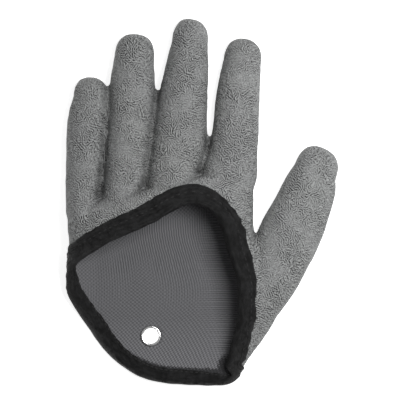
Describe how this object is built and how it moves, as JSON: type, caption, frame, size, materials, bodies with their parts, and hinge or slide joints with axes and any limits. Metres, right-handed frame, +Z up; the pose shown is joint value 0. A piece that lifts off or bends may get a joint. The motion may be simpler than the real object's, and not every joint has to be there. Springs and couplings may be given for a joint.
{
  "type": "fishing glove",
  "caption": "Left-hand fishing glove, lying palm down: crinkled latex coat over a knit liner, cut-away back with a black bound rim and a metal eyelet at the wrist.",
  "frame": {"origin": "on the flat underside of the palm, below the knuckles and midway between the palm's sides", "axes": "+X towards the thumb, +Y towards the fingertips, +Z up out of the open back of the hand"},
  "size_m": [0.1574, 0.2125, 0.0313],
  "materials": {
    "latex_coat": "matt, finely crinkled",
    "knit_liner": "fine knit",
    "edge_binding": "woven tape",
    "eyelet": "bright nickel plate",
    "eyelet_washer": "bright nickel plate"
  },
  "bodies": {
    "root": {"latex_coat": "latex_coat", "knit_liner": "knit_liner", "edge_binding": "edge_binding", "eyelet": "eyelet", "eyelet_washer": "eyelet_washer"}
  },
  "joints": []
}
